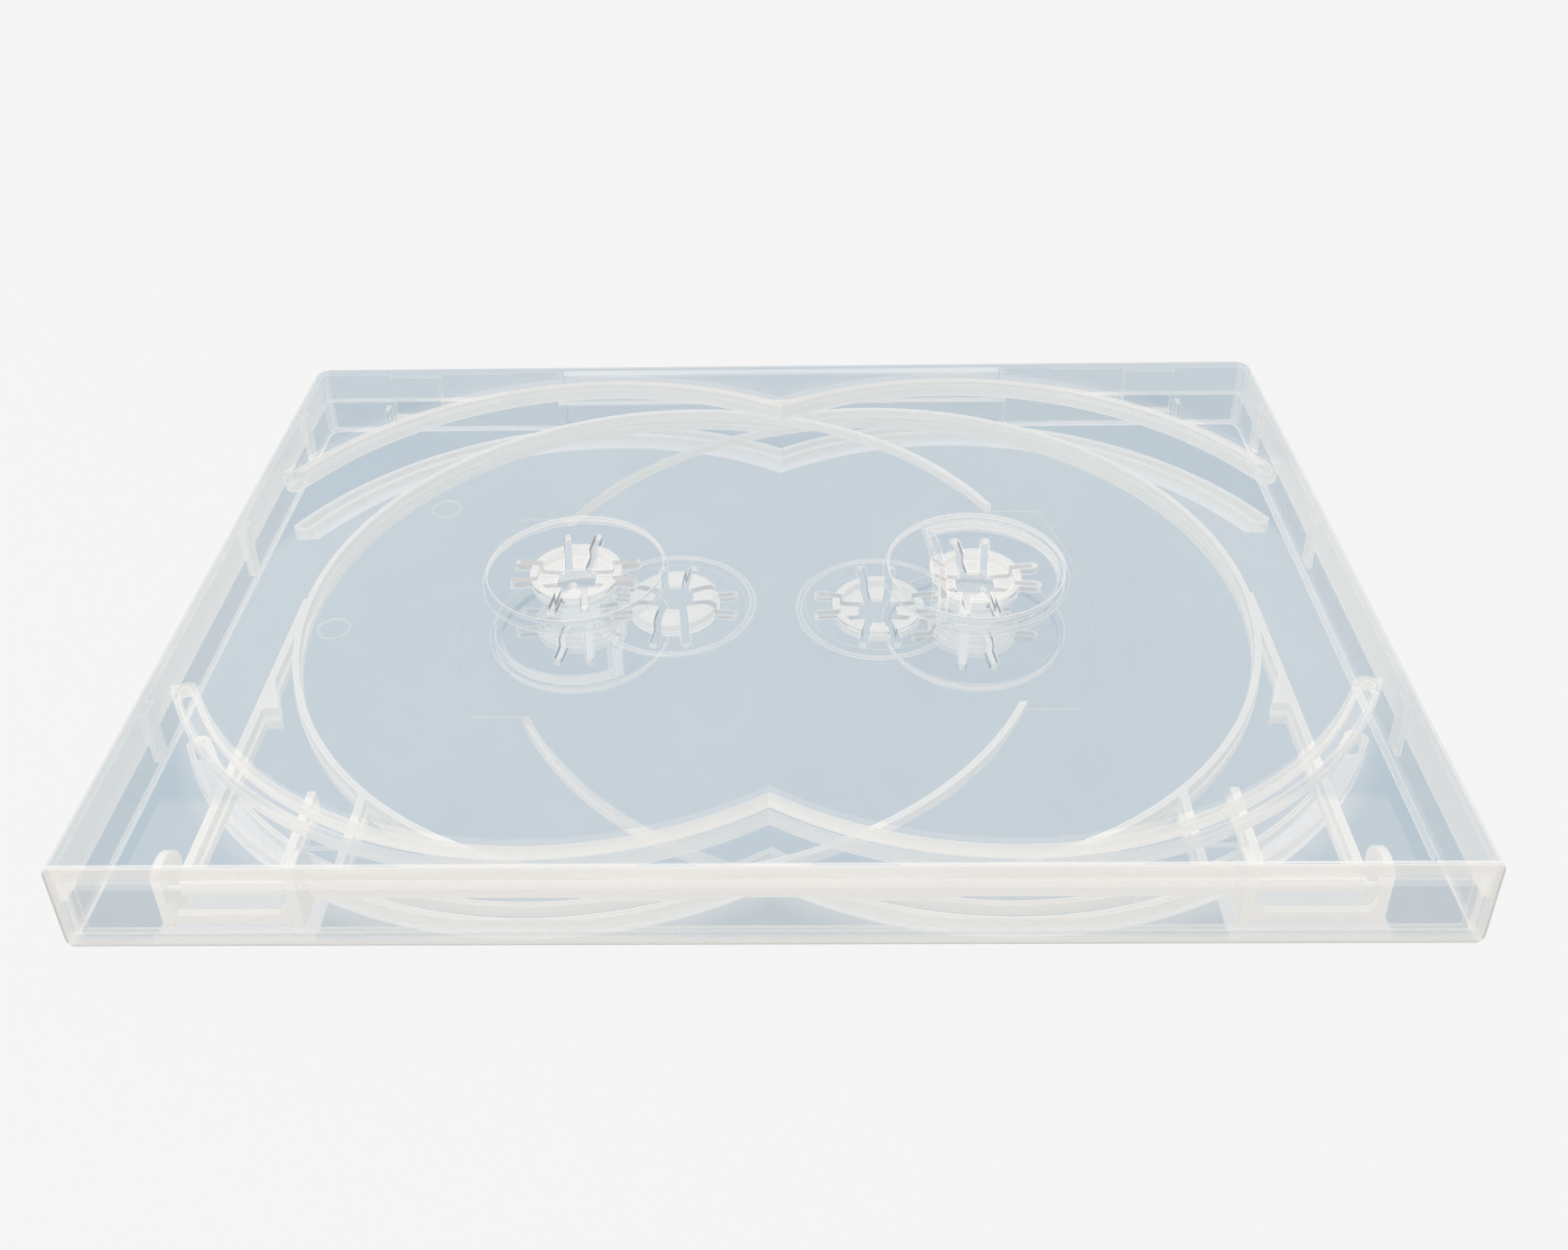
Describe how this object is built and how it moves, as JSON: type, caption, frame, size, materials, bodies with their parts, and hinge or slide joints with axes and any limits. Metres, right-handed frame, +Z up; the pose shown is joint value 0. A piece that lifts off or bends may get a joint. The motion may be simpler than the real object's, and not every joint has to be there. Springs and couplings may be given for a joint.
{
  "type": "multi-disc dvd case",
  "caption": "Translucent folding storage case for 120 mm discs, with overlapping sprung hubs in both covers and a tray between them that swings out and carries a disc on each face.",
  "frame": {"origin": "middle of the underside of the closed case", "axes": "+X along the spine, +Y from the spine to the opening edge, +Z up through the thickness"},
  "size_m": [0.19, 0.135, 0.015],
  "materials": {
    "clear_plastic": "translucent polypropylene"
  },
  "bodies": {
    "back": {"back_cover": "clear_plastic"},
    "spine_panel": {"spine": "clear_plastic"},
    "front": {"front_cover": "clear_plastic"},
    "tray": {"flip_tray": "clear_plastic"}
  },
  "joints": [
    {"name": "spine_fold", "type": "hinge", "parent": "back", "child": "spine_panel", "pos_m": [0, -0.0675, 0], "axis": [1, 0, 0], "range_deg": [0, 90]},
    {"name": "cover_fold", "type": "hinge", "parent": "spine_panel", "child": "front", "pos_m": [0, -0.0675, 0.015], "axis": [1, 0, 0], "range_deg": [0, 90]},
    {"name": "tray_swing", "type": "hinge", "parent": "back", "child": "tray", "pos_m": [0, -0.0633, 0.0075], "axis": [1, 0, 0], "range_deg": [0, 90]}
  ],
  "couplings": [
    {"joint": "tray_swing", "follows": "spine_fold", "ratio": 1}
  ]
}
